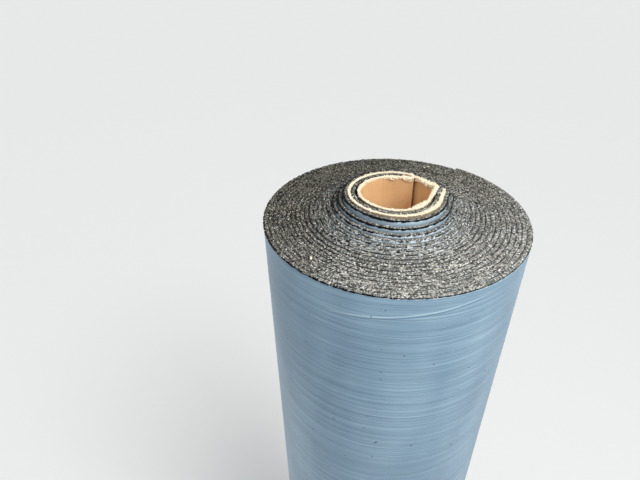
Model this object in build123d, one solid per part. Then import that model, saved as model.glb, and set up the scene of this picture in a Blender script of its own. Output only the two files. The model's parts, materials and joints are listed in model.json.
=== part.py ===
from build123d import *
import math
import os

# A roll of mineral-surfaced roofing felt, standing on end.
# A strip of board is rolled up in the middle, with the felt's first turn between the board's two turns.
# The frame: +Z runs up the roll, its axis meets the floor at the origin, and +Y points away from the viewer.
# Angles are in degrees from +X, counter-clockwise from above, the way in which the sheet winds outwards.

# The felt: sizes in millimetres
sheet_width = 1000.0
outer_diameter = 244.0
felt_thickness = 4.0
free_end_angle = 48.0

# The board in the middle
bore_diameter = 62.0
board_thickness = 2.6
board_shorter_by = 0.0
fit_gap = 0.1

# The felt's first turn hugs the board's second turn, and the board's first turn sits loose inside it
first_turn_slack = 2.2
felt_start_lag = 3.0

# The board's overlap: it runs straight off the circle, turns at a kink and passes flat over its first edge
board_start_angle = 44.0
leave_angle = -27.0
flat_angle = 40.0
flat_clearance = 3.6
kink_radius = 5.0
blend_radius = 15.0
tail_length = 21.5

# The roll has slipped into a shallow cone: each turn is higher than the next one out, and the last are level
core_rise = 19.0
rise_ratio = 0.75
level_turns = 4
board_proud = 2.5

# The ends of the turns
turn_gap = 0.5
gap_depth = 1.5
rim_land = 1.6

bore_radius = bore_diameter / 2
outer_radius = outer_diameter / 2
board_width = sheet_width - board_shorter_by
flat_distance = bore_radius + board_thickness + flat_clearance
felt_inner_radius = bore_radius + board_thickness + first_turn_slack + fit_gap
ring_radius = felt_inner_radius + felt_thickness + fit_gap
second_turn_radius = ring_radius + board_thickness + fit_gap
last_gap_radius = outer_radius - felt_thickness - rim_land
turn_count = math.floor((last_gap_radius - second_turn_radius) / felt_thickness)
turn_pitch = (last_gap_radius - second_turn_radius) / turn_count
first_level_turn = turn_count + 1 - level_turns


def unit(angle):
    """The unit vector at an angle from +X."""
    return Vector(math.cos(math.radians(angle)), math.sin(math.radians(angle)))


def kink_centre():
    """The centre of the kink's round, which is tangent to the straight off the circle and to the flat."""
    a, b = unit(leave_angle), unit(flat_angle)
    from_line = bore_radius - kink_radius
    from_flat = flat_distance - kink_radius
    cross = a.X * b.Y - a.Y * b.X
    x = (from_line * b.Y - from_flat * a.Y) / cross
    y = (from_flat * a.X - from_line * b.X) / cross
    return Vector(x, y)


def second_leave_angle():
    """Where the felt's first turn runs straight off its circle, onto the outside of the kink."""
    kink = kink_centre()
    direction = math.degrees(math.atan2(kink.Y, kink.X))
    drop = felt_inner_radius - (kink_radius + board_thickness + fit_gap)
    return direction - math.degrees(math.acos(drop / kink.length))


def blend_centre():
    """The centre of the arc that leads the flat into the board's second turn."""
    from_flat = flat_distance - blend_radius
    from_axis = ring_radius - blend_radius
    along = math.sqrt(from_axis**2 - from_flat**2)
    return unit(flat_angle) * from_flat + unit(flat_angle + 90) * along


def blend_angle():
    """The angle at which the board's second turn comes onto its circle."""
    centre = blend_centre()
    return math.degrees(math.atan2(centre.Y, centre.X))


def arc(centre, radius, start, end):
    """An arc about a centre, counter-clockwise from one angle to another."""
    return CenterArc((centre.X, centre.Y), radius, start, end - start)


def over_the_kink(offset, from_angle):
    """The kink, the flat and the arc that leads into the second turn, for a line parallel to the board."""
    kink, blend, flat = kink_centre(), blend_centre(), unit(flat_angle)
    return [
        arc(kink, kink_radius + offset, from_angle, flat_angle),
        Line(kink + flat * (kink_radius + offset), blend + flat * (blend_radius + offset)),
        arc(blend, blend_radius + offset, flat_angle, blend_angle()),
    ]


def second_turn(offset, start_angle, tail):
    """The second turn's circle and the straight tail that it ends in, for a line parallel to the board."""
    leaving = unit(second_leave_angle())
    corner = leaving * (ring_radius + offset)
    return [
        arc(Vector(0, 0), ring_radius + offset, start_angle, second_leave_angle() + 360),
        Line(corner, corner + unit(second_leave_angle() + 90) * tail),
    ]


def board_side(offset):
    """One side of the board, from its first edge in the bore to the end of its tail."""
    leaving = unit(leave_angle)
    first_turn = [
        arc(Vector(0, 0), bore_radius + offset, board_start_angle, leave_angle + 360),
        Line(leaving * (bore_radius + offset), kink_centre() + leaving * (kink_radius + offset)),
    ]
    return first_turn + over_the_kink(offset, leave_angle) + second_turn(offset, blend_angle(), tail_length)


def board_section():
    """The board's cut edge: a strip of one thickness, wound nearly twice round."""
    inner, outer = board_side(0), board_side(board_thickness)
    start = Line(inner[0] @ 0, outer[0] @ 0)
    end = Line(inner[-1] @ 1, outer[-1] @ 1)
    return make_face(inner + outer + [start, end])


def room_for_board():
    """What the bore and the board take out of the felt, up to the blunt end where its first turn starts."""
    felt_start = blend_angle() + felt_start_lag
    leaving = unit(second_leave_angle())
    outside, tail = board_thickness + fit_gap, tail_length + fit_gap
    felt_face = [
        arc(Vector(0, 0), felt_inner_radius, felt_start, second_leave_angle() + 360),
        Line(leaving * felt_inner_radius, kink_centre() + leaving * (kink_radius + outside)),
    ]
    far_side = over_the_kink(outside, second_leave_angle()) + second_turn(outside, blend_angle(), tail)
    near_side = second_turn(-fit_gap, felt_start, tail)
    blunt_start = Line(felt_face[0] @ 0, near_side[0] @ 0)
    slot_end = Line(near_side[-1] @ 1, far_side[-1] @ 1)
    return make_face(felt_face + far_side + near_side + [blunt_start, slot_end])


def outline():
    """The outline: a spiral of four arcs that grows by one thickness in a turn and steps at the free end."""
    side = felt_thickness / 4
    a, b = unit(free_end_angle), unit(free_end_angle + 90)
    corners = [(b - a) * (side / 2), (a + b) * (-side / 2), (a - b) * (side / 2), (a + b) * (side / 2)]
    last_radius = outer_radius - side / 2
    arcs = []
    for quarter, centre in enumerate(corners):
        start = free_end_angle + 90 * quarter
        arcs.append(arc(centre, last_radius - (3 - quarter) * side, start, start + 90))
    free_end = Line(arcs[-1] @ 1, arcs[0] @ 0)
    return make_face(arcs + [free_end])


def rise(turn):
    """How far a turn has slipped up, counting from 0 for the first turn round the board."""
    level = rise_ratio**first_level_turn
    return core_rise * max(0.0, rise_ratio**turn - level)


def turned_body():
    """The wound sheet as one turned solid: a stepped cone, with a narrow gap where a step is too low."""
    radii = [second_turn_radius + (turn + 1) * turn_pitch for turn in range(turn_count)]
    top = [(0.0, sheet_width + rise(0))]
    bottom = [(0.0, rise(0))]
    for turn, radius in enumerate(radii):
        here, outside = rise(turn), rise(turn + 1)
        if here - outside < gap_depth:
            top.append((radius - turn_gap, sheet_width + here))
            top.append((radius, sheet_width + outside - gap_depth))
            bottom.append((radius, here))
            bottom.append((radius, here + gap_depth))
            bottom.append((radius + turn_gap, outside))
        else:
            top.append((radius, sheet_width + here))
            bottom.append((radius, here))
            bottom.append((radius, outside))
        top.append((radius, sheet_width + outside))
    beyond = outer_radius + felt_thickness
    top.append((beyond, sheet_width))
    bottom.append((beyond, 0.0))
    profile = Plane.XZ * make_face(Polyline(*top, *reversed(bottom), close=True))
    return revolve(profile, Axis.Z)


def felt():
    """The felt: its turned body inside the spiral outline, with the room for the board taken out."""
    height = sheet_width + rise(0)
    body = turned_body() & extrude(outline(), height)
    return body - extrude(room_for_board(), height)


def board():
    """The board, which stands a little proud of the felt next to it."""
    return Pos(0, 0, rise(0) + board_proud) * extrude(board_section(), board_width)


os.makedirs("parts", exist_ok=True)
export_step(felt(), "parts/felt_roll.step")
export_step(board(), "parts/core_board.step")
mean_radius = outer_radius - felt_thickness / 2
felt_length = math.pi * (mean_radius**2 - second_turn_radius**2) / turn_pitch + math.tau * felt_inner_radius
print("turns", turn_count + 2, "pitch", round(turn_pitch, 3), "length of felt about", round(felt_length))
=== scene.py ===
import json
import math
import bpy
import numpy as np
from mathutils import Matrix, Vector


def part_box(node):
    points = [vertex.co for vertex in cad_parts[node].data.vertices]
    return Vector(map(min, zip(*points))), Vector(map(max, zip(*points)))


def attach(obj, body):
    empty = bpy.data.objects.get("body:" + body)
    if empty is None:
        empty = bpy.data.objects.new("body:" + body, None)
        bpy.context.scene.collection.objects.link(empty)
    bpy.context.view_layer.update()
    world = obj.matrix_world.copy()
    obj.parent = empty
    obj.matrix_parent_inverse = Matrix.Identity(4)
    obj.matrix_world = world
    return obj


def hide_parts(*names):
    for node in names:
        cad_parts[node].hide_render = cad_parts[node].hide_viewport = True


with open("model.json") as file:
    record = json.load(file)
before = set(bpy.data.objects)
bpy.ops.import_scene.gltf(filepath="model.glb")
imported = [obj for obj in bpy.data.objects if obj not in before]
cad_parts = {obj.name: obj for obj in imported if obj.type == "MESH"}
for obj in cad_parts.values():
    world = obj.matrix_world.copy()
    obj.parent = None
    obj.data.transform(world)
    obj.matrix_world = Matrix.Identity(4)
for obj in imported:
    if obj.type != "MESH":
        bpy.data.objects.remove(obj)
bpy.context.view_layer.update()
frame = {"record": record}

# The board in the middle is one strip of solid brown board, rolled up nearly twice round. It runs off its
# circle to a kink, passes flat over its own first edge and goes round again outside the felt's first turn.
# Its ends are torn, not cut: pale shreds of ply stand up, and the brown face has peeled away below them.
mm = 0.001
board_low, board_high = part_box("core_board")
board_width = board_high.z - board_low.z
bore_radius = frame["record"]["mounts"][0]["dims"]["r_mm"] * mm
board_thickness = 2.6 * mm
felt_thickness = 4.0 * mm
fit_gap, first_turn_slack, flat_clearance = 0.1 * mm, 2.2 * mm, 3.6 * mm
board_start_angle, leave_angle, flat_angle = 49.0, -27.0, 40.0
kink_radius, blend_radius = 5.0 * mm, 15.0 * mm
tail_length, tail_tip = 21.5 * mm, 0.4 * mm
flat_distance = bore_radius + board_thickness + flat_clearance
felt_inner_radius = bore_radius + board_thickness + first_turn_slack + fit_gap
ring_radius = felt_inner_radius + felt_thickness + fit_gap
# Where the shape isn't even: by how much, and the angle and the spread in degrees
sprung_out, sprung_spread = 2.9 * mm, 16.0
dent, dent_angle, dent_spread = 2.2 * mm, 228.0, 42.0
# Where the ends are torn deeper: the angle along the strip, the spread, and how many times deeper
far_flap, seam_flap, near_tongue = (86, 12, 2.2), (60, 9, 1.8), (309, 17, 4.4)
kink_tear, tail_fray = (386, 23, 3.4), (672, 26, 1.6)
deepest_tear, tear_rounding, lower_tear, tear_edge = 9.5 * mm, 2.0 * mm, 0.6, 0.88
torn_bumps, torn_loss = 1.5 * mm, 1.0 * mm
curl_bumps, curl_loss, fray_bumps = 1.6 * mm, 0.2 * mm, 1.1 * mm
ragged_over = 1.6 * mm
# The rows of points near the torn ends: how far apart they are, and how many
upper_row, upper_rows, last_row = 0.5 * mm, 20, 12 * mm
lower_row, lower_rows = 0.7 * mm, 10
# Over what stretch, from an end or from the axis, the face takes painted shade, painted light, and is warmer
# where torn
bore_shade_over, lit_over, bared_over = (10 * mm, 50 * mm), (31 * mm, 34 * mm), (1.5 * mm, 5.0 * mm)
fibre_bumps = 0.25 * mm
kraft = (0.3, 224, 178, 128), (0.5, 232, 189, 138), (0.7, 238, 199, 151)
torn_ply = (0.25, 229, 203, 159), (0.42, 247, 229, 197), (0.56, 252, 242, 220)
torn_inside = (0.25, 230, 193, 143), (0.42, 247, 222, 178), (0.6, 252, 238, 205)
speck_brown, bore_shade_brown, painted_lit_brown = (160, 114, 78), (150, 104, 64), (255, 215, 158)
dust_brown, flap_shadow_brown, cut_shade_brown = (138, 127, 102), (122, 80, 50), (112, 76, 50)


def towards(angle):
    """The unit vector in plan at an angle in degrees from +X, counter-clockwise from above."""
    return np.array([math.cos(math.radians(angle)), math.sin(math.radians(angle))])


def angle_of(point):
    return math.degrees(math.atan2(point[1], point[0]))


def find_kink():
    """The centre of the kink's round, which touches the straight off the circle and the flat."""
    sides = np.array([towards(leave_angle), towards(flat_angle)])
    return np.linalg.solve(sides, [bore_radius - kink_radius, flat_distance - kink_radius])


kink_centre = find_kink()
kink_drop = felt_inner_radius - (kink_radius + board_thickness + fit_gap)
second_leave_angle = angle_of(kink_centre) - math.degrees(math.acos(kink_drop / np.linalg.norm(kink_centre)))
along_flat = math.sqrt((ring_radius - blend_radius) ** 2 - (flat_distance - blend_radius) ** 2)
blend_centre = towards(flat_angle) * (flat_distance - blend_radius) + towards(flat_angle + 90) * along_flat
blend_angle = angle_of(blend_centre)


def bend(centre, radius, start, end):
    """Plan points along an arc, two degrees apart."""
    angles = np.radians(np.linspace(start, end, max(3, round(abs(end - start) / 2))))
    return np.stack([centre[0] + radius * np.cos(angles), centre[1] + radius * np.sin(angles)], 1)


def over_the_kink(offset, first_angle):
    """Plan points over the kink and the flat into the second turn, parallel to the board's inner face."""
    kink = bend(kink_centre, kink_radius + offset, first_angle, flat_angle)
    blend = bend(blend_centre, blend_radius + offset, flat_angle, blend_angle)
    flat = np.linspace(kink[-1], blend[0], 20)
    return np.concatenate([kink, flat[1:-1], blend])


def bell(angles, middle, spread):
    """1 at the middle, falling to 0 on both sides of it."""
    return np.exp(-(((angles - middle) / spread) ** 2))


def dented(angles):
    """How far the middle of the roll is pushed in at each angle, most of all at its near left."""
    return dent * bell(angles % 360, dent_angle, dent_spread)


def board_path():
    """The board's middle line in plan, from its first edge in the bore to the end of its tail."""
    middle = board_thickness / 2
    first = bend((0, 0), bore_radius + middle, board_start_angle, leave_angle + 360)
    second = bend((0, 0), ring_radius + middle, blend_angle, second_leave_angle + 360)
    from_edge = np.linspace(0, leave_angle + 360 - board_start_angle, len(first))
    first *= (1 + sprung_out * bell(from_edge, 0, sprung_spread) / (bore_radius + middle))[:, None]
    for turn in (first, second):
        around = np.degrees(np.arctan2(turn[:, 1], turn[:, 0]))
        turn *= (1 - dented(around) / np.hypot(turn[:, 0], turn[:, 1]))[:, None]
    along_tail = np.array([[tail_length - tail_tip], [tail_length]]) * towards(second_leave_angle + 90)
    return np.concatenate([first, over_the_kink(middle, leave_angle), second[1:], second[-1] + along_tail])


def counted_angles(points):
    """The angle of each point of a path in degrees, counted on from turn to turn."""
    return np.degrees(np.unwrap(np.arctan2(points[:, 1], points[:, 0])))


def tear_along(points):
    """Along the path: how many times deeper the tear is, where the cuts are and how far it is frayed."""
    around = counted_angles(points)
    tear = np.ones(len(points))
    for angle, spread, extra in (far_flap, seam_flap, near_tongue, kink_tear, tail_fray):
        tear += extra * bell(around, angle, spread)
    cut = np.zeros(len(points))
    cut[0] = cut[-1] = 1.0
    angle, spread, extra = tail_fray
    return tear, cut, extra * bell(around, angle, spread)


def mesh_line(name, points, closed=False, **attributes):
    """A mesh of points joined by edges in order, with a number at each point under each name given."""
    mesh = bpy.data.meshes.new(name)
    count = len(points)
    edges = [(i, i + 1) for i in range(count - 1)] + ([(count - 1, 0)] if closed else [])
    mesh.from_pydata([(*point, 0.0)[:3] for point in points], edges, [])
    for key, values in attributes.items():
        mesh.attributes.new(key, "FLOAT", "POINT").data.foreach_set("value", np.asarray(values, np.float32))
    return mesh


def strip_section(name, thickness, depths, across, inner_depths=None):
    """A strip's section as a loop: x goes outwards through it, and its depths are taken from its top."""
    steps = [thickness / 2 - thickness * i / across for i in range(1, across)]
    outer = [(thickness / 2, depth) for depth in (0.0, *depths, board_width)]
    inner = [(-thickness / 2, depth) for depth in reversed((0.0, *(inner_depths or depths), board_width))]
    points = outer + [(step, board_width) for step in steps] + inner + [(-step, 0.0) for step in steps]
    places = [(x, depth - board_width) for x, depth in points]
    sides = [2 * x / thickness for x, depth in points]
    section = mesh_line(name, places, closed=True, side=sides, depth=[depth for x, depth in points])
    return bpy.data.objects.new(name, section)


def add_node(tree, kind, sockets=None, **settings):
    """Adds a node to a tree, sets its options, and sets or links the sockets that are given."""
    node = tree.nodes.new(kind)
    for name, value in settings.items():
        setattr(node, name, value)
    for key, value in (sockets or {}).items():
        by_name = isinstance(key, str)
        socket = next(s for s in node.inputs if s.name == key and s.enabled) if by_name else node.inputs[key]
        if isinstance(value, bpy.types.NodeSocket):
            tree.links.new(value, socket)
        else:
            socket.default_value = value
    return node


def made(tree, kind, sockets=None, output=None, **settings):
    """Adds a node and gives its output: the one that is named, or else the first one in use."""
    node = add_node(tree, kind, sockets, **settings)
    return next(s for s in node.outputs if s.enabled and output in (None, s.name))


def calc(operation, *values):
    """One step of arithmetic on numbers and sockets."""
    tree = next(value.id_data for value in values if isinstance(value, bpy.types.NodeSocket))
    return made(tree, "ShaderNodeMath", dict(enumerate(values)), operation=operation)


def times(value, *others):
    for other in others:
        value = calc("MULTIPLY", value, other)
    return value


def plus(value, *others):
    for other in others:
        value = calc("ADD", value, other)
    return value


def minus(value, other):
    return calc("SUBTRACT", value, other)


def vector(operation, first, second):
    return made(first.id_data, "ShaderNodeVectorMath", {0: first, 1: second}, operation=operation)


def stretched(place, scale):
    """A place with its axes stretched, for a pattern that is longer one way."""
    return vector("MULTIPLY", place, scale)


def along(place, direction):
    """How far a place is along a direction."""
    return vector("DOT_PRODUCT", place, direction)


def scaled(direction, size):
    return made(direction.id_data, "ShaderNodeVectorMath", {0: direction, "Scale": size}, operation="SCALE")


def ramp(value, low, high, start=0.0, end=1.0):
    """A smooth change from one number to another while a value goes from low to high."""
    sockets = {"Value": value, "From Min": low, "From Max": high, "To Min": start, "To Max": end}
    return made(value.id_data, "ShaderNodeMapRange", sockets, interpolation_type="SMOOTHSTEP")


def noise(place, scale, detail=2.0, roughness=0.5, distortion=0.0):
    sockets = {"Vector": place, "Scale": scale, "Detail": detail, "Roughness": roughness,
               "Distortion": distortion}
    return made(place.id_data, "ShaderNodeTexNoise", sockets, "Fac")


def from_ends(depth):
    """How far a depth is from the nearer end of the strip."""
    return calc("MINIMUM", depth, minus(board_width, depth))


def is_upper(depth):
    """1 in the upper half of the strip and 0 in the lower."""
    return calc("GREATER_THAN", board_width / 2, depth)


def inwards(depth):
    """Which way is into the strip: -1, down, in its upper half and 1, up, in its lower."""
    return minus(1.0, times(is_upper(depth), 2.0))


def geometry_tree(name, **sizes):
    """A Geometry Nodes tree with a named input for each size and one for its finish, and those inputs."""
    tree = bpy.data.node_groups.new(name, "GeometryNodeTree")
    for key, kind in {"Geometry": "Geometry", **sizes, "Finish": "Material"}.items():
        tree.interface.new_socket(key.replace("_", " "), in_out="INPUT", socket_type="NodeSocket" + kind)
    tree.interface.new_socket("Geometry", in_out="OUTPUT", socket_type="NodeSocketGeometry")
    return tree, add_node(tree, "NodeGroupInput").outputs


def finish_off(tree, geometry, finish, smooth=True):
    """Ends a tree: its geometry is shaded smooth or flat, made real and given its material."""
    shaded = made(tree, "GeometryNodeSetShadeSmooth", {"Geometry": geometry, "Shade Smooth": smooth})
    real = made(tree, "GeometryNodeRealizeInstances", {"Geometry": shaded})
    faced = made(tree, "GeometryNodeSetMaterial", {"Geometry": real, "Material": finish})
    add_node(tree, "NodeGroupOutput", {0: faced})
    return tree


def run_tree(tree, name, base, **sizes):
    """Runs a tree on a mesh and keeps what it makes as a plain mesh object."""
    piece = bpy.data.objects.new(name, base)
    bpy.context.scene.collection.objects.link(piece)
    modifier = piece.modifiers.new(tree.name, "NODES")
    modifier.node_group = tree
    inputs = [item for item in tree.interface.items_tree if item.in_out == "INPUT"]
    identifiers = {item.name: item.identifier for item in inputs}
    for key, value in sizes.items():
        modifier[identifiers[key.replace("_", " ")]] = value
    evaluated = piece.evaluated_get(bpy.context.evaluated_depsgraph_get())
    mesh = bpy.data.meshes.new_from_object(evaluated)
    piece.modifiers.remove(modifier)
    piece.data = mesh
    return piece


def named(tree, name):
    """A number that the mesh's points carry under a name."""
    return made(tree, "GeometryNodeInputNamedAttribute", {"Name": name})


def stored(geometry, name, value, domain="POINT"):
    sockets = {"Geometry": geometry, "Name": name, "Value": value}
    return made(geometry.id_data, "GeometryNodeStoreNamedAttribute", sockets, data_type="FLOAT",
                domain=domain)


def moved(geometry, offset):
    return made(geometry.id_data, "GeometryNodeSetPosition", {"Geometry": geometry, "Offset": offset})


def upwards(height):
    return made(height.id_data, "ShaderNodeCombineXYZ", {"Z": height})


def place_and_normal(tree):
    return made(tree, "GeometryNodeInputPosition"), made(tree, "GeometryNodeInputNormal")


def even_curve(tree, given):
    """The path that a tree is given, as a curve whose points are evenly spaced."""
    line = made(tree, "GeometryNodeMeshToCurve", {"Mesh": given["Geometry"]})
    sockets = {"Curve": line, "Length": given["Spacing"]}
    return made(tree, "GeometryNodeResampleCurve", sockets, mode="LENGTH")


def stand_strip(tree, given):
    """A strip of the given section stood on edge along the given path, raised by the path's own lift."""
    upright = made(tree, "GeometryNodeSetCurveNormal", {"Curve": even_curve(tree, given)}, mode="Z_UP")
    section = {"Object": given["Section"], "As Instance": False}
    shape = made(tree, "GeometryNodeObjectInfo", section, "Geometry")
    loop = made(tree, "GeometryNodeMeshToCurve", {"Mesh": shape})
    sockets = {"Curve": upright, "Profile Curve": loop, "Fill Caps": True}
    return moved(made(tree, "GeometryNodeCurveToMesh", sockets), upwards(named(tree, "lift")))


def paint(red, green, blue):
    """A colour as it looks on a screen, 0 to 255, in the linear numbers that a shader takes."""
    parts = [value / 255 for value in (red, green, blue)]
    return [*(p / 12.92 if p <= 0.04045 else ((p + 0.055) / 1.055) ** 2.4 for p in parts), 1.0]


def new_finish(name):
    """A material with its node tree, its shader and the place on the object, which patterns follow."""
    material = bpy.data.materials.new(name)
    material.use_nodes = True
    tree = material.node_tree
    shader = next(node for node in tree.nodes if node.type == "BSDF_PRINCIPLED")
    return material, tree, shader, made(tree, "ShaderNodeTexCoord", output="Object")


def attribute(tree, name):
    """A number that the mesh's points carry under a name, read in a material."""
    return made(tree, "ShaderNodeAttribute", output="Fac", attribute_name=name)


def blended(amount, first, second):
    """A mix of two colours, each of them a socket or a colour as it looks on a screen."""
    first, second = (paint(*colour) if isinstance(colour, tuple) else colour for colour in (first, second))
    sockets = {"Factor": amount, "A": first, "B": second}
    return made(amount.id_data, "ShaderNodeMix", sockets, data_type="RGBA")


def shades(value, *stops, interpolation="LINEAR"):
    """A colour for each level of a value, from stops that each give a level and a colour as on a screen."""
    node = add_node(value.id_data, "ShaderNodeValToRGB", {"Fac": value})
    node.color_ramp.interpolation = interpolation
    while len(node.color_ramp.elements) < len(stops):
        node.color_ramp.elements.new(1.0)
    for element, (level, *colour) in zip(node.color_ramp.elements, stops):
        element.position, element.color = level, paint(*colour)
    return node.outputs["Color"]


def coat(shader, colour, roughness, height, distance):
    """Gives a shader its colour, its roughness and the bumps of a height from 0 to 1."""
    tree = shader.id_data
    bumps = made(tree, "ShaderNodeBump", {"Height": height, "Distance": distance, "Strength": 1.0})
    for name, value in (("Base Color", colour), ("Roughness", roughness), ("Normal", bumps)):
        tree.links.new(value, shader.inputs[name])


def board_finish():
    """Brown kraft face with faint streaks and specks, pale torn ply where the face has gone, and painted
    light and shade.
    """
    material, tree, shader, place = new_finish("brown board")
    side, depth, torn = (attribute(tree, name) for name in ("side", "depth", "torn"))
    streaks, clouds = noise(stretched(place, (260, 260, 9)), 1.0, detail=3), noise(place, 45, detail=3)
    specks = noise(place, 1000, detail=1)
    face = shades(plus(times(streaks, 0.25), times(clouds, 0.75)), *kraft)
    face = blended(ramp(specks, 0.64, 0.76, 0.0, 0.45), face, speck_brown)
    # Painted shade: the face darkens away from its ends, deeper in the bore; painted light brightens it
    # further towards the right.
    face = blended(ramp(from_ends(depth), *bore_shade_over, 0.0, 0.18), face, bore_shade_brown)
    face = blended(ramp(along(place, (0.9, 0.5, 0)), *lit_over, 0.0, 0.9), face, painted_lit_brown)
    face = blended(times(ramp(side, 0.0, 1.0), ramp(specks, 0.3, 0.6, 0.75, 0.95)), face, dust_brown)
    fibres = noise(stretched(place, (700, 700, 420)), 1.0, detail=3, roughness=0.7)
    bared = times(ramp(side, -0.9, -0.5, 1.0, 0.0), ramp(depth, *bared_over))
    ply = blended(bared, shades(fibres, *torn_ply), shades(fibres, *torn_inside))
    # Painted shadow: a dark line at the foot of the torn band where the tear is deep, the shadow under the
    # curled flap of ply.
    crease = times(ramp(torn, 0.0, 0.2), ramp(torn, 0.35, 0.6, 1.0, 0.0),
                   ramp(attribute(tree, "tear"), 1.3, 2.0, 0.25, 0.9))
    whole = blended(crease, blended(ramp(torn, 0.2, 0.6), face, ply), flap_shadow_brown)
    # Painted shade: both cut ends of the strip are dark brown, standing in for the shadow in the narrow gap
    # at the seam.
    edge = calc("GREATER_THAN", attribute(tree, "cut"), 0.6)
    grain = times(fibres, plus(times(torn, 0.9), 0.1))
    coat(shader, blended(edge, whole, cut_shade_brown), ramp(streaks, 0.3, 0.7, 0.62, 0.85), grain, fibre_bumps)
    return material


def board_tree():
    """The strip stood along its path, with its torn ends: thinner, ragged and stripped of the brown face."""
    tree, given = geometry_tree("torn board strip", Section="Object", Spacing="Float", Tear_depth="Float",
                                Ragged_by="Float")
    strip = stand_strip(tree, given)
    place, normal = place_and_normal(tree)
    side, depth, tear, fray = (named(tree, name) for name in ("side", "depth", "tear", "fray"))
    apart = made(tree, "ShaderNodeCombineXYZ", {"X": side, "Y": side, "Z": times(side, 3.0)})
    plan = stretched(place, (1, 1, 0.25))
    face = vector("ADD", apart, plan)
    wide, fine = noise(face, 38, detail=1), noise(face, 230, detail=3, roughness=0.65)
    reach = plus(ramp(wide, 0.36, 0.68, 0.25, 1.25), times(fine, 0.5))
    line = times(reach, ramp(side, -1.0, 1.0, tear, 0.3), given["Tear depth"])
    line = calc("SMOOTH_MIN", line, deepest_tear, tear_rounding)
    line = times(line, ramp(is_upper(depth), 0.0, 1.0, lower_tear))
    from_end = from_ends(depth)
    marked = stored(strip, "torn", ramp(from_end, times(line, tear_edge), line, 1.0, 0.0))
    torn = named(tree, "torn")
    lumps = noise(place, 520)
    thinned = times(torn, minus(times(lumps, torn_bumps), torn_loss))
    peeled = times(minus(tear, 1.0), calc("LESS_THAN", side, -0.3))
    curled = times(peeled, torn, minus(times(lumps, curl_bumps), curl_loss))
    frayed = times(fray, calc("GREATER_THAN", side, 0.3), torn, times(lumps, fray_bumps))
    outwards = plus(thinned, plus(curled, frayed))
    rough = moved(marked, scaled(stretched(normal, (1, 1, 0)), outwards))
    ragged = times(noise(plan, 330), ramp(from_end, 0.0, ragged_over, 1.0, 0.0), given["Ragged by"])
    return finish_off(tree, moved(rough, upwards(times(ragged, inwards(depth)))), given["Finish"])


tear_rows = [upper_row * row for row in range(1, upper_rows + 1)] + [last_row]
tear_rows += [board_width - lower_row * row for row in range(lower_rows, 0, -1)]
board_section = strip_section("board section", board_thickness, tear_rows, across=5)
board_line = board_path()
board_tear, board_cut, board_fray = tear_along(board_line)
board_line = mesh_line("board path", board_line, lift=np.full(len(board_line), board_low.z), tear=board_tear,
                       cut=board_cut, fray=board_fray)
core_strip = run_tree(board_tree(), "core_strip", board_line, Section=board_section, Spacing=0.8 * mm,
                      Tear_depth=2.4 * mm, Ragged_by=1.2 * mm, Finish=board_finish())
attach(core_strip, "root")
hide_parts("core_board")

# The torn upper end bristles with small pale lumps of pulp, which hang on the board's own fibres. They stand
# thickest where the board is torn deepest, and there are none on its two cut edges.
lump_shape_seed, lump_size_seed = 3, 5
flattest, longest = (0.25, 0.4, 0.8), (0.6, 0.9, 2.4)
outer_reach, inner_reach = 0.8 * mm, 1.5 * mm


def chance(tree, seed, low=0.0, high=1.0):
    """A random number for each point, or a random vector between two vectors."""
    kind = "FLOAT_VECTOR" if isinstance(high, tuple) else "FLOAT"
    return made(tree, "FunctionNodeRandomValue", {"Min": low, "Max": high, "Seed": seed}, data_type=kind)


def tumbled(tree, seed, low=(0, 0, 0), high=(math.tau, math.tau, math.tau)):
    """A random turn about each axis, between two sets of angles."""
    return made(tree, "FunctionNodeEulerToRotation", {"Euler": chance(tree, seed, low, high)})


def lump_tree():
    """Lumps scattered over the torn upper end."""
    tree, given = geometry_tree("pulp lumps", Density="Float", Smallest="Float", Largest="Float", Seed="Int")
    torn, tear, depth, side, cut = (named(tree, name) for name in ("torn", "tear", "depth", "side", "cut"))
    torn = times(torn, calc("LESS_THAN", cut, 0.3))
    reach = ramp(side, -0.9, -0.2, times(tear, inner_reach), outer_reach)
    points = made(tree, "GeometryNodeDistributePointsOnFaces", {
        "Mesh": given["Geometry"], "Selection": calc("LESS_THAN", depth, reach),
        "Density": times(torn, tear, given["Density"]), "Seed": given["Seed"]})
    ball = made(tree, "GeometryNodeMeshIcoSphere", {"Radius": 1.0, "Subdivisions": 1})
    size = calc("POWER", chance(tree, lump_size_seed), 2.0)
    size = ramp(size, 0.0, 1.0, given["Smallest"], given["Largest"])
    lumps = made(tree, "GeometryNodeInstanceOnPoints", {
        "Points": points, "Instance": ball, "Rotation": tumbled(tree, given["Seed"]),
        "Scale": scaled(chance(tree, lump_shape_seed, flattest, longest), size)})
    return finish_off(tree, stored(stored(lumps, "torn", 1.0), "cut", 0.0), given["Finish"])


torn_shreds = run_tree(lump_tree(), "torn_shreds", core_strip.data.copy(), Density=9.0e5, Smallest=0.3 * mm,
                       Largest=0.95 * mm, Seed=7, Finish=core_strip.data.materials[0])
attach(torn_shreds, "root")

# The felt is one sheet, 10 m long and as wide as the roll is tall: a carrier coated with bitumen, with grey
# mineral granules on its inner side and a thin film on its outer side. It is wound tight and has slipped up
# into a cone, so each inner turn stands out of the next. Its cut ends are black, rough and full of granules.
felt_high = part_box("felt_roll")[1].z
outer_radius, outer_clearance = 122.0 * mm, 0.5 * mm
film_thickness, room_for_film = 0.12 * mm, 0.28 * mm
sheet_thickness = felt_thickness - room_for_film
turn_gap, felt_start_lag = 0.1 * mm, 3.0
turn_pitch = felt_thickness + turn_gap
felt_start_angle = blend_angle + felt_start_lag
free_end_angle, turns_of_felt = 48.0, 19
last_angle = free_end_angle + 360.0 * turns_of_felt
loose_turns, looseness, loosening, tight_angle = 5, 0.62 * mm, (1.6, 2.4), -10.0
# Counted in turns: from where to where the winding becomes round, and by where it is evenly spaced
round_from, round_by, even_by = 2, 10, 18
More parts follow.
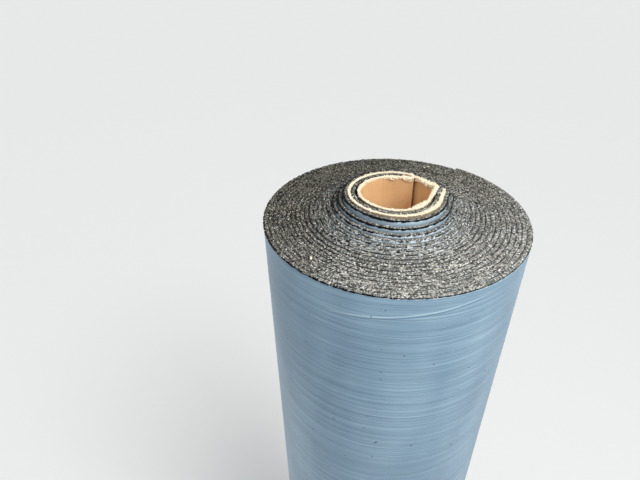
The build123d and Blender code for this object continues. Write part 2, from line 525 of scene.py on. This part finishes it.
# In degrees: how far to each side the slope and the radius are averaged, and over how many the tail fades
slope_reach, round_reach, tail_fades_over = 3, 17, 7
inner_lean, inner_lean_angle, inner_lean_spread = 2.5 * mm, 236.0, 52.0
raised_first_turn = 2.4 * mm
first_lift = felt_high - board_width + raised_first_turn
cone_lift, cone_ratio, cone_corner = 19.25 * mm, 0.75, 0.8 * mm
near_side = 270.0 + 360.0
level_lift, uneven_lift, uneven_turns = 0.25 * mm, 0.4 * mm, (4, 9)
slow_wave, fast_wave = 2.9, 4.7
end_row, end_lumps = 1.0 * mm, (0.2 * mm, 0.9 * mm)
early_wear, late_wear, most_wear = 0.7 * mm, 0.3 * mm, 0.9 * mm
# In plan: where the corners and the bead change from left to right, where the painted shade at the left is
# deepest, and the way that the painted light grows
left_to_right, far_left, painted_light_towards = (-0.09, 0.06), -0.13, (1.0, -3.7, 0)
dark_gloss, felt_bumps = 0.12, 0.6 * mm
felt_stone = (0.30, 6, 6, 7), (0.44, 84, 84, 80), (0.60, 156, 155, 148), (0.78, 246, 245, 238)
felt_tar = (0.35, 12, 12, 14), (0.62, 44, 44, 46)
lit_grey, lit_tint, shade_tint = (150, 149, 141), (255, 255, 255), (255, 252, 241)


def first_turn_radii(angles):
    """The middle of the felt's first turn, which lies between the board's two turns."""
    middle = felt_inner_radius + felt_thickness / 2
    offset = board_thickness + fit_gap + felt_thickness / 2
    turn = bend((0, 0), middle, felt_start_angle, second_leave_angle + 360)
    kink = over_the_kink(offset, second_leave_angle)
    straight = np.linspace(turn[-1], kink[0], 30)
    end = bend((0, 0), ring_radius + offset, blend_angle, felt_start_angle)
    points = np.concatenate([turn, straight[1:-1], kink, end[1:]])
    return np.interp(angles, counted_angles(points), np.hypot(points[:, 0], points[:, 1]))


def eased(value, low, high):
    """A smooth change from 0 to 1 while a value goes from low to high."""
    part = np.clip((value - low) / (high - low), 0, 1)
    return part * part * (3 - 2 * part)


def smoothed(values, reach):
    """The mean of each value and its neighbours."""
    count = 2 * reach + 1
    return np.convolve(np.pad(values, reach, mode="edge"), np.ones(count) / count, mode="valid")


def slanted(radii):
    """How much longer a step square to the path is when it is measured along the radius."""
    slope = np.gradient(radii, math.radians(1)) / radii
    return np.sqrt(1 + slope**2)


def winding():
    """The angle and the radius of the sheet's middle at each degree, each turn lying on the one before."""
    angles = np.arange(felt_start_angle, last_angle, 1.0)
    turns = (angles - felt_start_angle) / 360
    radii = np.zeros(len(angles))
    radii[:360] = first_turn_radii(angles[:360])
    past_leaving = math.degrees(math.atan2(tail_length, ring_radius + board_thickness))
    tail_end = second_leave_angle + 720 + past_leaving
    board_between = (board_thickness + fit_gap) * (1 - eased(angles, tail_end, tail_end + tail_fades_over))
    away = 0.5 - 0.5 * np.cos(np.radians(angles - tight_angle))
    tightening = 1 - eased(turns, loose_turns + 1, loose_turns + 3)
    slack = looseness * away * eased(turns, *loosening) * tightening
    for start in range(360, len(angles), 360):
        span = slice(start, min(start + 360, len(angles)))
        count = span.stop - start
        under = radii[start - 360:start]
        step = (turn_pitch + board_between[span]) * smoothed(slanted(under), slope_reach)[:count]
        radii[span] = under[:count] + step + slack[span]
    rounded = np.clip((turns - round_from) / (round_by - round_from), 0, 1)
    radii = radii * (1 - rounded) + smoothed(radii, round_reach) * rounded
    last_middle = outer_radius - film_thickness - outer_clearance - sheet_thickness / 2
    even_pitch = (last_middle - ring_radius - board_thickness - felt_thickness / 2) / (turns[-1] - 1)
    share = np.clip((turns - round_from) / (even_by - round_from), 0, 1)
    radii = radii * (1 - share) + (last_middle - even_pitch * (turns[-1] - turns)) * share
    radii[360:] -= dented(angles[360:]) * (1 - share[360:]) ** 2
    radii[:360] -= inner_lean * bell(angles[:360], inner_lean_angle, inner_lean_spread)
    return angles, radii


def lifts(angles):
    """How far the sheet has slipped up: level inside the board, then less with each turn."""
    cone = cone_lift * cone_ratio ** ((angles - near_side) / 360)
    both = -cone_corner * np.log(np.exp(-first_lift / cone_corner) + np.exp(-cone / cone_corner))
    turns = angles / 360
    waves = 1 + np.sin(turns * slow_wave + 1) * np.sin(turns * fast_wave)
    return np.maximum(both - level_lift, 0) + uneven_lift * waves * eased(turns, *uneven_turns)


def polar_line(name, angles, radii):
    """A path in plan from angles and radii, whose points carry their lift and their turn."""
    around = np.radians(angles)
    points = np.stack([radii * np.cos(around), radii * np.sin(around)], 1)
    return mesh_line(name, points, lift=lifts(angles), turn=(angles - felt_start_angle) / 360)


def axis_of(place, axis):
    return made(place.id_data, "ShaderNodeSeparateXYZ", {0: place}, axis)


def with_painted_light(place, colour, brightness, left_shade):
    """A colour with painted light: paler and greyer towards the near right, darker and warmer with painted
    shade at the far side and the left.
    """
    left = ramp(axis_of(place, "X"), far_left, 0.0, -left_shade, 0.0)
    level = plus(along(place, painted_light_towards), left, times(minus(noise(place, 24), 0.5), 0.25))
    lit_greyed = blended(ramp(level, -0.2, 0.5, 0.0, 0.25), colour, lit_grey)
    shade_warmth = blended(ramp(level, -0.3, 0.15, 1.0, 0.0), lit_tint, shade_tint)
    light = calc("MAXIMUM", plus(level, brightness), 0.4 * brightness)
    return scaled(vector("MULTIPLY", lit_greyed, shade_warmth), light)


def felt_finish():
    """Black bitumen at the cut, greyer towards the granules on the inner side, and painted light and shade
    over it all.
    """
    material, tree, shader, place = new_finish("cut felt")
    grit = noise(place, 900, detail=3, roughness=0.75)
    grains = made(tree, "ShaderNodeTexVoronoi", {"Vector": place, "Scale": 980.0}, "Color")
    shade = plus(times(made(tree, "ShaderNodeSeparateColor", {0: grains}), 0.6), times(grit, 0.5))
    bare = plus(attribute(tree, "side"), ramp(attribute(tree, "turn"), 7.0, 15.0, 0.3, 0.0))
    mineral = ramp(plus(bare, times(grit, -0.8)), 0.65, 0.3)
    dusty = times(mineral, ramp(noise(place, 30), 0.3, 0.7, 0.75, 1.0))
    colour = blended(dusty, shades(grit, *felt_tar), shades(shade, *felt_stone))
    # Painted light and shade: paler and greyer towards the near right, darker and warmer at the back and the
    # left.
    colour = with_painted_light(place, colour, brightness=0.65, left_shade=0.40)
    shader.inputs["Specular IOR Level"].default_value = dark_gloss
    coat(shader, colour, ramp(dusty, 0.0, 1.0, 0.5, 0.9), plus(shade, grit), felt_bumps)
    return material


def felt_tree():
    """The sheet stood along its winding, with the cut ends broken up into lumps."""
    tree, given = geometry_tree("wound felt", Section="Object", Spacing="Float", Rough_by="Float")
    strip = stand_strip(tree, given)
    place, normal = place_and_normal(tree)
    side, depth, turn = (named(tree, name) for name in ("side", "depth", "turn"))
    plan = stretched(place, (1, 1, 0))
    lumps = plus(noise(place, 620, roughness=0.7), times(noise(plan, 75), 0.8))
    worn = ramp(noise(plan, 120), 0.4, 0.62, ramp(turn, 4.0, 14.0, early_wear, late_wear), most_wear)
    worn = times(worn, ramp(axis_of(place, "X"), *left_to_right, 1.15, 0.6))
    corner = times(calc("POWER", calc("ABSOLUTE", side), 4.0), worn)
    fall = times(plus(times(lumps, given["Rough by"]), corner), ramp(from_ends(depth), *end_lumps, 1.0, 0.0))
    flank = calc("LESS_THAN", calc("ABSOLUTE", axis_of(normal, "Z")), 0.5)
    return finish_off(tree, moved(strip, upwards(times(fall, inwards(depth)))), given["Finish"], flank)


sheet_angles, sheet_radii = winding()
felt_rows = [end_row, board_width - end_row]
felt_section = strip_section("felt section", sheet_thickness, felt_rows, across=3)
felt_sheet = run_tree(felt_tree(), "felt_sheet", polar_line("felt path", sheet_angles, sheet_radii),
                      Section=felt_section, Spacing=1.5 * mm, Rough_by=0.55 * mm, Finish=felt_finish())
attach(felt_sheet, "root")
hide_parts("felt_roll")

# A bead of bitumen runs along the sheet's outer corner at the upper end, where the knife has dragged it out.
# It is nearly black, with a wet shine. It swells and runs out as it goes, and is stoutest on the first turns
# and on the last.
second_turn = 360
bead_sides = 5
bead_sinks_in, bead_wavers, tar_bumps = 0.05 * mm, 1.1 * mm, 0.3 * mm
early_turns, last_stretch = (2.2, 5.0), (turns_of_felt - 1.2, turns_of_felt - 0.9)
bead_black = (0.35, 2, 2, 3), (0.7, 14, 14, 16)


def tar_finish():
    """Bitumen that is nearly black, with a wet shine in places."""
    material, _, shader, place = new_finish("black bitumen")
    grit = noise(place, 800)
    shader.inputs["Specular IOR Level"].default_value = dark_gloss
    coat(shader, shades(grit, *bead_black), ramp(grit, 0.35, 0.7, 0.35, 0.7), grit, tar_bumps)
    return material


def bead_tree():
    """A thin round line along the path, pushed out unevenly where it swells."""
    tree, given = geometry_tree("bitumen bead", Spacing="Float", Thin="Float", Thick="Float",
                                Below_top="Float")
    sockets = {"Resolution": bead_sides, "Radius": given["Thin"]}
    ring = made(tree, "GeometryNodeCurvePrimitiveCircle", sockets)
    swept = made(tree, "GeometryNodeCurveToMesh", {
        "Curve": even_curve(tree, given), "Profile Curve": ring, "Fill Caps": True})
    place, normal = place_and_normal(tree)
    turn, lift = named(tree, "turn"), named(tree, "lift")
    early, last = ramp(turn, *early_turns, 1.0, 0.0), ramp(turn, *last_stretch)
    swell = plus(noise(place, 300, detail=3, roughness=0.7), plus(times(early, 0.06), times(last, 0.08)))
    stout = plus(ramp(turn, 6.0, 12.0, 0.95, 0.6), plus(times(early, 0.4), times(last, 0.5)))
    # Partly painted shade: the real bead is made stouter towards the left, where its black darkens the turn
    # lines that lie in shade there.
    stout = times(stout, ramp(axis_of(place, "X"), *left_to_right, 1.3, 0.75))
    push = times(given["Thick"], stout, plus(ramp(swell, 0.47, 0.62), times(early, 0.3)))
    height = minus(plus(lift, board_width), plus(given["Below top"], times(noise(place, 210), bead_wavers)))
    lumpy = moved(swept, vector("ADD", scaled(normal, push), upwards(height)))
    return finish_off(tree, lumpy, given["Finish"])


def outer_line(name, first, last, offset):
    """A path along the sheet, moved square outwards from its middle."""
    angles, radii = sheet_angles[first:last], sheet_radii[first:last]
    return polar_line(name, angles, radii + offset * slanted(radii))


bead_line = outer_line("bead path", second_turn, None, sheet_thickness / 2 - bead_sinks_in)
tar_bead = run_tree(bead_tree(), "tar_bead", bead_line, Spacing=1.2 * mm, Thin=0.08 * mm, Thick=0.62 * mm,
                    Below_top=0.7 * mm, Finish=tar_finish())
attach(tar_bead, "root")

# The film is a thin light blue skin on the outer side of every turn, which burns off when the felt is laid.
# Its upper edge is ragged and leaves a line of bare bitumen. On the last turn it has shrunk into fine level
# wrinkles.
last_turn = len(sheet_angles) - 360
crease_below_top, crease_slope = 17.8 * mm, 0.13
film_gap, film_row = 0.02 * mm, 1.3 * mm
film_offset = sheet_thickness / 2 + film_thickness / 2 + film_gap
inner_rows = [2.4 * mm, 7 * mm, 20 * mm]
last_turn_starts, last_turn_full = turns_of_felt - 1.2, turns_of_felt - 1.0
film_shades = (0.34, 88, 118, 141), (0.45, 109, 139, 160), (0.55, 128, 157, 177), (0.66, 153, 180, 197)
inner_painted_light, outer_pale = (186, 205, 216), (150, 150, 143)
inner_edge_highlight, outer_edge_highlight = (220, 229, 233), (214, 209, 194)
film_dust, film_dirt = (128, 130, 127), (40, 44, 50)
crease_over, front_of_roll, film_bumps = (0.2 * mm, 1.1 * mm), (-0.119, -0.095), 0.6 * mm
crease_highlight_and_shade = (0.6 * mm, (180, 205, 218)), (-1.0 * mm, (86, 116, 138))
# How far in from its end the film is dusty, pale with a painted highlight where it still stands, and torn,
# and where its torn edge is pale with a painted highlight
dusty_over, stand_over, torn_over = (4 * mm, 10 * mm), (1.5 * mm, 3.0 * mm), (0.1 * mm, 5 * mm)
edge_from, edge_on_last, edge_inside = 0.4 * mm, 1.3 * mm, 2.4 * mm


def film_finish():
    """Light blue film with a satin shine, faint level streaks, a few specks of dirt, and painted highlights
    and shade.
    """
    material, tree, shader, place = new_finish("blue film")
    turn, depth, stand = (attribute(tree, name) for name in ("turn", "depth", "stand"))
    streaks = noise(stretched(place, (7, 7, 620)), 1.0, detail=4, roughness=0.65)
    clouds = noise(stretched(place, (14, 14, 5)), 1.0)
    blue = shades(plus(times(streaks, 0.6), times(clouds, 0.4)), *film_shades)
    hidden = ramp(turn, turns_of_felt - 1.6, last_turn_starts, 1.0, 0.0)
    # Painted light: on the inner turns the film is lightened towards a whitish blue to make up for the shade
    # between the steps of the cone; further out it goes grey.
    painted_pale = times(ramp(turn, 2.2, 3.6, 0.65, 0.9), ramp(streaks, 0.35, 0.6, 0.4, 1.0), hidden)
    blue = blended(painted_pale, blue, blended(ramp(turn, 6.0, 10.0), inner_painted_light, outer_pale))
    dust = times(ramp(turn, 2.6, 4.8), hidden, ramp(depth, *dusty_over, 1.0, 0.0),
                 ramp(noise(place, 260), 0.5, 0.6, 1.0, 0.15))
    blue = blended(dust, blue, film_dust)
    often = times(plus(ramp(turn, 2.2, 3.2, 0.0, 0.1), ramp(turn, 6.0, 10.0, 0.0, -0.2)), hidden)
    fine = noise(place, 800, detail=1)
    chips = plus(fine, times(minus(noise(place, 340), fine), hidden))
    # Painted highlight: broken pale dashes along the film's upper edge, partly its torn edge and partly a
    # painted glint, most on the first turns.
    reach = ramp(hidden, 0.0, 1.0, edge_on_last, edge_inside)
    edge = times(ramp(depth, edge_from, reach, 1.0, 0.0), ramp(plus(chips, often), 0.56, 0.64))
    edge = calc("MAXIMUM", edge, times(stand, ramp(depth, *stand_over, 0.9, 0.0)))
    blue = blended(edge, blue, blended(ramp(turn, 5.0, 10.0), inner_edge_highlight, outer_edge_highlight))
    # A crease painted across the front of the film, with no fold in the mesh: a painted highlight just above
    # it and a painted shade just below.
    above = minus(along(place, (-crease_slope, 0, 1)), board_width - crease_below_top)
    front = ramp(axis_of(place, "Y"), *front_of_roll, 0.75, 0.0)
    for height, colour in crease_highlight_and_shade:
        line = ramp(calc("ABSOLUTE", minus(above, height)), *crease_over, 1.0, 0.0)
        blue = blended(times(line, front), blue, colour)
    blue = blended(ramp(noise(place, 360, detail=0), 0.83, 0.86), blue, film_dirt)
    folds = noise(stretched(place, (5, 5, 140)), 1.0, detail=3, distortion=0.2)
    ridge = calc("MAXIMUM", minus(1.0, calc("ABSOLUTE", times(minus(folds, 0.5), 14.0))), 0.0)
    coat(shader, blue, ramp(streaks, 0.3, 0.7, 0.30, 0.48), plus(streaks, times(ridge, 0.12)), film_bumps)
    return material


def film_tree():
    """The film stood along its path, with a ragged upper edge and level wrinkles pressed out of it."""
    tree, given = geometry_tree("film", Section="Object", Spacing="Float", Ragged_by="Float",
                                Wrinkle="Float")
    strip = stand_strip(tree, given)
    place, normal = place_and_normal(tree)
    side, depth, turn = (named(tree, name) for name in ("side", "depth", "turn"))
    plan = stretched(place, (1, 1, 0))
    outer = times(ramp(turn, 4.0, 7.0), ramp(turn, last_turn_starts, last_turn_full, 1.0, 0.0),
                  ramp(along(place, (0.35, -1, 0)), 0.02, 0.06))
    stand = times(ramp(noise(plan, 125), 0.57, 0.62), outer)
    tears = times(plus(noise(plan, 260, roughness=0.7), 0.85), minus(1.0, times(stand, 0.8)))
    end = ramp(from_ends(depth), *torn_over, 1.0, 0.0)
    drop = times(tears, given["Ragged by"], times(end, inwards(depth)))
    torn = moved(stored(strip, "stand", stand), upwards(drop))
    outside = calc("GREATER_THAN", side, 0.0)
    folds = noise(stretched(place, (7, 7, 150)), 1.0, distortion=0.15)
    crease = times(calc("POWER", minus(1.0, calc("ABSOLUTE", times(minus(folds, 0.5), 9.0))), 2.0), outside)
    swell = noise(stretched(place, (10, 10, 14)), 1.0, detail=1)
    height = times(plus(calc("MINIMUM", crease, 1.0), swell), given["Wrinkle"], outside)
    return finish_off(tree, moved(torn, scaled(stretched(normal, (1, 1, 0)), height)), given["Finish"])


film_stock, film_blue = film_tree(), film_finish()
inner_section = strip_section("inner film section", film_thickness, inner_rows, across=1)
outer_rows = [film_row * row for row in range(1, int(board_width / film_row))]
outer_section = strip_section("outer film section", film_thickness, outer_rows, across=1,
                              inner_depths=[film_row, board_width - film_row])
inner_line = outer_line("inner film path", second_turn, last_turn, film_offset)
inner_film = run_tree(film_stock, "inner_film", inner_line, Section=inner_section, Spacing=2.2 * mm,
                      Ragged_by=1.1 * mm, Wrinkle=0.0, Finish=film_blue)
last_line = outer_line("outer film path", last_turn, None, film_offset)
outer_film = run_tree(film_stock, "outer_film", last_line, Section=outer_section, Spacing=8.0 * mm,
                      Ragged_by=1.3 * mm, Wrinkle=0.17 * mm, Finish=film_blue)
for film in (inner_film, outer_film):
    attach(film, "root")

# Small curls of torn film stand up here and there along its upper edge and catch the light. They hang on the
# film itself, are most common on the first turns, and are shorter and closer together on the last turn.
lean_seed, length_seed = 31, 32
least_lean, most_lean = (0.2, -0.35, -0.3), (1.5, 0.35, 0.3)
first_below, later_below = -1.9 * mm, -0.65 * mm
curl_arch = -0.7


def curl_tree():
    """Bent scraps of film set along the edge, each leaning in a way of its own."""
    tree, given = geometry_tree("film curls", Spacing="Float", Share="Float", Shortest="Float",
                                Longest="Float", Seed="Int")
    turn = named(tree, "turn")
    below = ramp(turn, 2.0, 4.5, first_below, later_below)
    edge = moved(even_curve(tree, given), upwards(plus(named(tree, "lift"), board_width, below)))
    size = {"Size X": 1.0, "Size Y": 0.6, "Vertices X": 4, "Vertices Y": 2}
    scrap = made(tree, "GeometryNodeMeshGrid", size)
    from_middle = calc("ABSOLUTE", axis_of(made(tree, "GeometryNodeInputPosition"), "X"))
    bent = moved(scrap, upwards(times(calc("POWER", from_middle, 2.0), curl_arch)))
    tangent = made(tree, "GeometryNodeInputTangent")
    straight = made(tree, "FunctionNodeAlignRotationToVector", {"Vector": tangent}, axis="X")
    lean = tumbled(tree, lean_seed, least_lean, most_lean)
    leaning = made(tree, "FunctionNodeRotateRotation", {"Rotation": straight, "Rotate By": lean},
                   rotation_space="LOCAL")
    last = ramp(turn, last_turn_starts, last_turn_full)
    share = times(plus(ramp(turn, 5.0, 9.0, 2.2, 0.25), times(last, 1.9)), given["Share"])
    length = chance(tree, length_seed, given["Shortest"], given["Longest"])
    length = times(length, minus(1.0, times(last, 0.5)))
    curls = made(tree, "GeometryNodeInstanceOnPoints", {
        "Points": edge, "Selection": calc("LESS_THAN", chance(tree, given["Seed"]), share), "Instance": bent,
        "Rotation": leaning, "Scale": length})
    return finish_off(tree, curls, given["Finish"])


film_curls = run_tree(curl_tree(), "film_curls", outer_line("curl path", second_turn, None, film_offset),
                      Spacing=1.7 * mm, Share=0.3, Shortest=0.6 * mm, Longest=2.0 * mm, Seed=41,
                      Finish=film_blue)
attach(film_curls, "root")

# The granules are crushed slate, grey with a few white, brown and dark ones. The knife has pulled them out
# of the coating and left them sticking in the cut ends of the sheet, thickest on its inner side.
slate_shades = ((0.0, 12, 12, 13), (0.24, 88, 86, 81), (0.38, 150, 148, 139), (0.56, 184, 182, 171),
                (0.69, 170, 157, 134), (0.75, 160, 170, 172), (0.79, 232, 231, 221), (0.88, 255, 255, 250))
mottle_grey = (90, 88, 84)
slate_gloss, chip_bumps = 0.2, 0.15 * mm
thinnest_chip, fullest_chip = (0.6, 0.6, 0.45), (1.15, 1.15, 0.95)
level_enough = 0.35
smallest_chip, largest_on_top, largest_below = 0.3 * mm, 0.94 * mm, 0.54 * mm


def granule_finish():
    """Crushed slate: each chip has a shade of its own."""
    material, tree, shader, place = new_finish("slate granules")
    colour = shades(attribute(tree, "tint"), *slate_shades, interpolation="CONSTANT")
    mottle = noise(place, 2200)
    colour = blended(ramp(mottle, 0.4, 0.7, 0.0, 0.35), colour, mottle_grey)
    shader.inputs["Specular IOR Level"].default_value = slate_gloss
    # Painted light and shade: paler towards the near right, darker at the back and the left.
    colour = with_painted_light(place, colour, brightness=0.95, left_shade=0.12)
    coat(shader, colour, ramp(mottle, 0.3, 0.7, 0.45, 0.9), mottle, chip_bumps)
    return material


def granule_tree():
    """Chips scattered over the felt's faces that look one way, each with its own turn, size and shade."""
    tree, given = geometry_tree("granules", Facing="Float", Density="Float", Smallest="Float",
                                Largest="Float", Seed="Int")
    facing = times(axis_of(made(tree, "GeometryNodeInputNormal"), "Z"), given["Facing"])
    points = made(tree, "GeometryNodeDistributePointsOnFaces", {
        "Mesh": given["Geometry"], "Selection": calc("GREATER_THAN", facing, level_enough),
        "Density": given["Density"], "Seed": given["Seed"]})
    seeds = [plus(given["Seed"], float(step)) for step in range(1, 6)]
    keep_seed, turn_seed, shape_seed, size_seed, tint_seed = seeds
    on_outer_side = ramp(named(tree, "turn"), 7.0, 15.0, 0.06, 0.45)
    share = ramp(named(tree, "side"), 0.1, 0.75, 1.0, on_outer_side)
    kept = calc("LESS_THAN", chance(tree, keep_seed), share)
    chip = made(tree, "GeometryNodeMeshUVSphere", {"Segments": 4, "Rings": 2, "Radius": 1.0})
    size = calc("POWER", chance(tree, size_seed), 2.2)
    size = ramp(size, 0.0, 1.0, given["Smallest"], given["Largest"])
    chips = made(tree, "GeometryNodeInstanceOnPoints", {
        "Points": points, "Selection": kept, "Instance": chip, "Rotation": tumbled(tree, turn_seed),
        "Scale": scaled(chance(tree, shape_seed, thinnest_chip, fullest_chip), size)})
    tinted = stored(chips, "tint", chance(tree, tint_seed), "INSTANCE")
    return finish_off(tree, tinted, given["Finish"], smooth=False)


granules, slate = granule_tree(), granule_finish()
for name, facing, density, largest, seed in (("top_granules", 1.0, 8.15e5, largest_on_top, 11),
                                             ("bottom_granules", -1.0, 2.0e5, largest_below, 23)):
    chips = run_tree(granules, name, felt_sheet.data.copy(), Facing=facing, Density=density,
                     Smallest=smallest_chip, Largest=largest, Seed=seed, Finish=slate)
    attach(chips, "root")

# A few crumbs of pale pulp, torn off the board, lie on the felt's upper end. They are crumpled lumps of the
# board's own ply, and nothing holds them: they rest on the granules.
crumb_places = [(-75.3, -70.6), (46.8, 90.2), (50.6, 91.9)]
crumb_sizes = [2.9 * mm, 1.4 * mm, 1.7 * mm]
crumb_height, crumpled_by = 1.2 * mm, 1.7 * mm
crumb_seed = 2
thinnest_crumb, fullest_crumb, most_tilt = (0.5, 0.3, 0.2), (1.1, 0.5, 0.35), (0.3, 0.3, math.tau)


def crumb_tree():
    """One lump at each point, stretched, turned and crumpled."""
    tree, given = geometry_tree("crumbs of board", Seed="Int")
    ball = made(tree, "GeometryNodeMeshIcoSphere", {"Radius": 1.0, "Subdivisions": 3})
    spread = chance(tree, crumb_seed, thinnest_crumb, fullest_crumb)
    lumps = made(tree, "GeometryNodeInstanceOnPoints", {
        "Points": given["Geometry"], "Instance": ball, "Scale": scaled(spread, named(tree, "size")),
        "Rotation": tumbled(tree, given["Seed"], high=most_tilt)})
    whole = made(tree, "GeometryNodeRealizeInstances", {"Geometry": lumps})
    place, normal = place_and_normal(tree)
    crumpled = moved(whole, scaled(normal, times(minus(noise(place, 1100), 0.5), crumpled_by)))
    return finish_off(tree, stored(crumpled, "torn", 1.0), given["Finish"])


crumb_points = [(x * mm, y * mm, board_width + crumb_height) for x, y in crumb_places]
crumb_points = mesh_line("crumb places", crumb_points, size=crumb_sizes)
crumbs = run_tree(crumb_tree(), "crumbs", crumb_points, Seed=9, Finish=core_strip.data.materials[0])
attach(crumbs, "root")

# The floor is plain, pale and matt, and isn't part of the roll. It lies at the height of the roll's lower
# end and is large enough to reach past the picture's upper edge.
half_floor = 30.0
floor_white, floor_roughness = (243, 243, 241), 0.9


def floor_finish():
    material, _, shader, _ = new_finish("pale floor")
    shader.inputs["Base Color"].default_value = paint(*floor_white)
    shader.inputs["Roughness"].default_value = floor_roughness
    return material


floor_mesh = bpy.data.meshes.new("floor")
floor_corners = [(half_floor * x, half_floor * y, 0) for x, y in ((-1, -1), (1, -1), (1, 1), (-1, 1))]
floor_mesh.from_pydata(floor_corners, [], [(0, 1, 2, 3)])
floor_mesh.materials.append(floor_finish())
floor = bpy.data.objects.new("floor", floor_mesh)
bpy.context.scene.collection.objects.link(floor)

# The light is that of a bright overcast day: even from all round, under a sky that shows as white, and
# stronger from the right in front, where a soft sun and a softbox near the upper end bring out the relief.
sky_white, sky_strength = (250, 252, 255), 0.55
sun_from = Vector((0.62, -0.75, 1.25))
sun_strength, sun_spread = 1.4, math.radians(35)
lamp_place, lamp_target = Vector((0.42, -0.58, 1.62)), Vector((0, 0, 1.0))
lamp_size, lamp_power = 0.5, 4.5
world = bpy.data.worlds.new("sky")
world.use_nodes = True
background = world.node_tree.nodes["Background"]
background.inputs["Color"].default_value = paint(*sky_white)
rays = add_node(world.node_tree, "ShaderNodeLightPath").outputs
mirrored = calc("MAXIMUM", rays["Is Glossy Ray"], rays["Is Transmission Ray"])
seen = calc("MAXIMUM", rays["Is Camera Ray"], mirrored)
world.node_tree.links.new(calc("MAXIMUM", seen, sky_strength), background.inputs["Strength"])
bpy.context.scene.world = world
sun_data = bpy.data.lights.new("sun", "SUN")
sun_data.energy, sun_data.angle = sun_strength, sun_spread
sun = bpy.data.objects.new("sun", sun_data)
sun.rotation_euler = (-sun_from).to_track_quat("-Z", "Y").to_euler()
lamp_data = bpy.data.lights.new("softbox", "AREA")
lamp_data.energy, lamp_data.size = lamp_power, lamp_size
lamp = bpy.data.objects.new("softbox", lamp_data)
lamp.location = lamp_place
lamp.rotation_euler = (lamp_target - lamp_place).to_track_quat("-Z", "Y").to_euler()
for light in (sun, lamp):
    bpy.context.scene.collection.objects.link(light)

# The camera looks down on the roll's upper end as the photograph does, from a little to the left of it. Its
# place is given from the middle of the upper rim.
image_width = 640
focal_pixels = 470.0
pitch, tilt = math.radians(34.13), math.radians(-1.30)
from_rim_centre = Vector((-67.8, -372.7, 223.2)) * mm
lens_data = bpy.data.cameras.new("camera")
lens_data.sensor_width = 36.0
lens_data.lens = lens_data.sensor_width * focal_pixels / image_width
lens_data.clip_start = 0.01
camera = bpy.data.objects.new("camera", lens_data)
level_right = Vector((1, 0, 0))
level_up = Vector((0, math.sin(pitch), math.cos(pitch)))
right = level_right * math.cos(tilt) + level_up * math.sin(tilt)
up = level_up * math.cos(tilt) - level_right * math.sin(tilt)
camera.matrix_world = Matrix.Translation(Vector((0, 0, board_width)) + from_rim_centre) @ Matrix(
    (right, up, right.cross(up))).transposed().to_4x4()
bpy.context.scene.collection.objects.link(camera)
bpy.context.scene.camera = camera
bpy.context.scene.view_settings.view_transform = "Standard"
